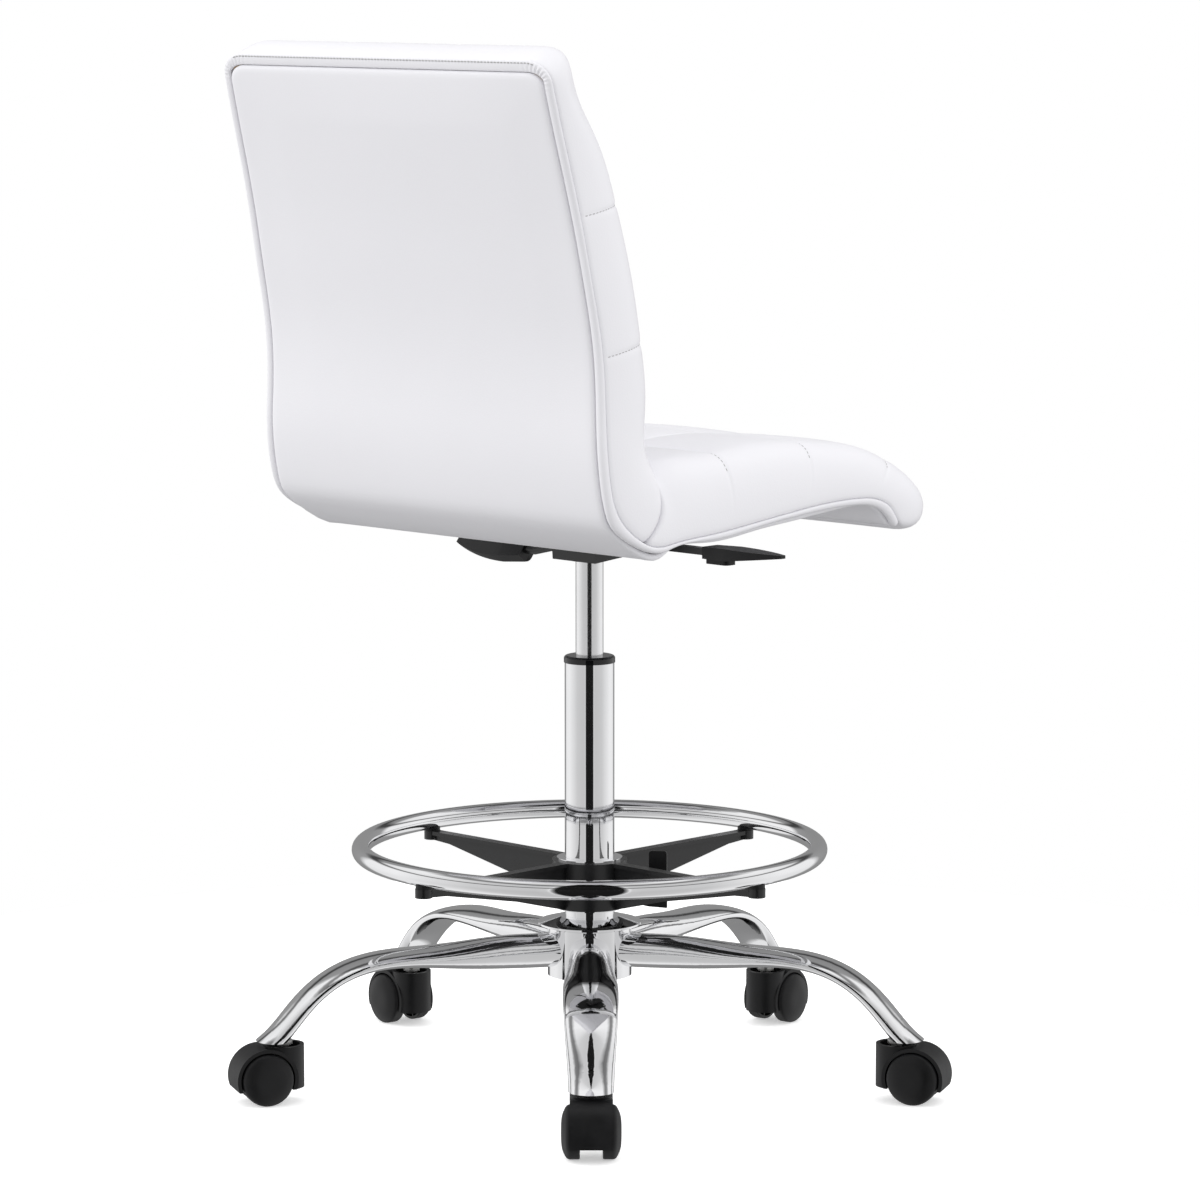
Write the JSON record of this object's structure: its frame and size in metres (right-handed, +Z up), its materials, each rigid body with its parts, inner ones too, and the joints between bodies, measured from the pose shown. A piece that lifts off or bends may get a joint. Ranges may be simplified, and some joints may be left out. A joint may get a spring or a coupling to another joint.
{
  "type": "drafting chair",
  "caption": "Tall armless swivel chair: padded one-piece seat and back on a two-stage gas column, with a sliding foot ring and a five-star tube base on twin-wheel casters.",
  "frame": {"origin": "on the floor plane, on the column's axis", "axes": "+Z up along the column; the sitter faces -Y and sits with the left hand towards +X"},
  "size_m": [0.7114, 0.7114, 1.0462],
  "materials": {
    "chrome": "polished",
    "zinc_steel": "satin",
    "piston_steel": "polished",
    "black_coat": "satin",
    "black_nylon": "matte",
    "gloss_collar": "gloss",
    "acetal": "satin",
    "white_vinyl": "satin",
    "plywood": "matte"
  },
  "bodies": {
    "base": {"base_hub": "chrome", "base_leg_1": "chrome", "base_leg_2": "chrome", "base_leg_3": "chrome", "base_leg_4": "chrome", "base_leg_5": "chrome", "leg_sockets": "black_nylon", "caster_stems": "zinc_steel", "column_tube": "chrome", "guide_bush": "gloss_collar", "thrust_bearing": "acetal"},
    "lift_rod": {"piston_rod": "piston_steel", "rod_clip": "zinc_steel"},
    "underframe": {"gas_cylinder": "chrome", "tilt_housing": "black_coat", "tilt_pin": "zinc_steel", "tilt_spring": "zinc_steel", "height_lever_pin": "zinc_steel"},
    "release_button": {"release_button": "zinc_steel"},
    "height_lever": {"height_lever": "black_coat", "height_paddle": "black_nylon"},
    "tilt_lock": {"tilt_lock_rod": "black_coat", "tilt_lock_paddle": "black_nylon"},
    "seat": {"seat_plate": "black_coat", "seat_shell": "plywood", "rear_cover": "white_vinyl", "seat_cushion": "white_vinyl", "back_cushion": "white_vinyl", "tee_nuts": "zinc_steel", "mount_washers": "zinc_steel", "mount_bolts": "zinc_steel"},
    "foot_ring": {"foot_ring": "chrome", "ring_spider": "black_coat", "ring_sleeve": "chrome", "ring_saddles": "black_nylon", "ring_screws": "black_coat", "ring_lock_pin": "zinc_steel"},
    "ring_lock": {"ring_lock_lever": "black_nylon"},
    "caster_1": {"caster_hood_1": "black_nylon"},
    "wheels_1": {"caster_axle_1": "zinc_steel", "caster_wheel_left_1": "black_nylon", "caster_wheel_right_1": "black_nylon"},
    "caster_2": {"caster_hood_2": "black_nylon"},
    "wheels_2": {"caster_axle_2": "zinc_steel", "caster_wheel_left_2": "black_nylon", "caster_wheel_right_2": "black_nylon"},
    "caster_3": {"caster_hood_3": "black_nylon"},
    "wheels_3": {"caster_axle_3": "zinc_steel", "caster_wheel_left_3": "black_nylon", "caster_wheel_right_3": "black_nylon"},
    "caster_4": {"caster_hood_4": "black_nylon"},
    "wheels_4": {"caster_axle_4": "zinc_steel", "caster_wheel_left_4": "black_nylon", "caster_wheel_right_4": "black_nylon"},
    "caster_5": {"caster_hood_5": "black_nylon"},
    "wheels_5": {"caster_axle_5": "zinc_steel", "caster_wheel_left_5": "black_nylon", "caster_wheel_right_5": "black_nylon"}
  },
  "joints": [
    {"name": "seat_swivel", "type": "hinge", "parent": "base", "child": "lift_rod", "pos_m": [0, 0, 0.11], "axis": [0, 0, 1], "continuous": true},
    {"name": "gas_lift", "type": "slide", "parent": "lift_rod", "child": "underframe", "axis": [0, 0, 1], "range_m": [-0.075, 0.135]},
    {"name": "release_button_press", "type": "slide", "parent": "underframe", "child": "release_button", "axis": [0, 0, -1], "range_m": [0, 0.0025], "stiffness_N_per_m": 400},
    {"name": "height_lever_lift", "type": "hinge", "parent": "underframe", "child": "height_lever", "pos_m": [-0.024, -0.05, 0.543], "axis": [0, 1, 0], "range_deg": [0, 5], "stiffness_Nm_per_rad": 4, "springref_deg": -4.58},
    {"name": "tilt_lock_turn", "type": "hinge", "parent": "underframe", "child": "tilt_lock", "pos_m": [0, -0.05, 0.543], "axis": [1, 0, 0], "range_deg": [0, 52]},
    {"name": "seat_tilt", "type": "hinge", "parent": "underframe", "child": "seat", "pos_m": [0, -0.05183, 0.55675], "axis": [-1, 0, 0], "range_deg": [0, 10], "stiffness_Nm_per_rad": 120, "springref_deg": -17.19},
    {"name": "foot_ring_height", "type": "slide", "parent": "base", "child": "foot_ring", "axis": [0, 0, 1], "range_m": [-0.006, 0.18]},
    {"name": "ring_lock_squeeze", "type": "hinge", "parent": "foot_ring", "child": "ring_lock", "pos_m": [-0.03686, -0.02581, 0.187], "axis": [-0.5736, 0.8192, 0], "range_deg": [0, 10], "stiffness_Nm_per_rad": 0.4, "springref_deg": -8.59},
    {"name": "caster_swivel_1", "type": "hinge", "parent": "base", "child": "caster_1", "pos_m": [-0.22627, 0.22627, 0.05], "axis": [0, 0, 1], "continuous": true},
    {"name": "wheel_roll_1", "type": "hinge", "parent": "caster_1", "child": "wheels_1", "pos_m": [-0.24112, 0.24112, 0.026], "axis": [-0.7071, -0.7071, 0], "continuous": true},
    {"name": "caster_swivel_2", "type": "hinge", "parent": "base", "child": "caster_2", "pos_m": [-0.28512, -0.14528, 0.05], "axis": [0, 0, 1], "continuous": true},
    {"name": "wheel_roll_2", "type": "hinge", "parent": "caster_2", "child": "wheels_2", "pos_m": [-0.30383, -0.15481, 0.026], "axis": [0.454, -0.891, 0], "continuous": true},
    {"name": "caster_swivel_3", "type": "hinge", "parent": "base", "child": "caster_3", "pos_m": [0.05006, -0.31606, 0.05], "axis": [0, 0, 1], "continuous": true},
    {"name": "wheel_roll_3", "type": "hinge", "parent": "caster_3", "child": "wheels_3", "pos_m": [0.05334, -0.3368, 0.026], "axis": [0.9877, 0.1564, 0], "continuous": true},
    {"name": "caster_swivel_4", "type": "hinge", "parent": "base", "child": "caster_4", "pos_m": [0.31606, -0.05006, 0.05], "axis": [0, 0, 1], "continuous": true},
    {"name": "wheel_roll_4", "type": "hinge", "parent": "caster_4", "child": "wheels_4", "pos_m": [0.3368, -0.05334, 0.026], "axis": [0.1564, 0.9877, 0], "continuous": true},
    {"name": "caster_swivel_5", "type": "hinge", "parent": "base", "child": "caster_5", "pos_m": [0.14528, 0.28512, 0.05], "axis": [0, 0, 1], "continuous": true},
    {"name": "wheel_roll_5", "type": "hinge", "parent": "caster_5", "child": "wheels_5", "pos_m": [0.15481, 0.30383, 0.026], "axis": [-0.891, 0.454, 0], "continuous": true}
  ],
  "couplings": [
    {"joint": "release_button_press", "follows": "height_lever_lift", "m_per_rad": 0.0285}
  ]
}
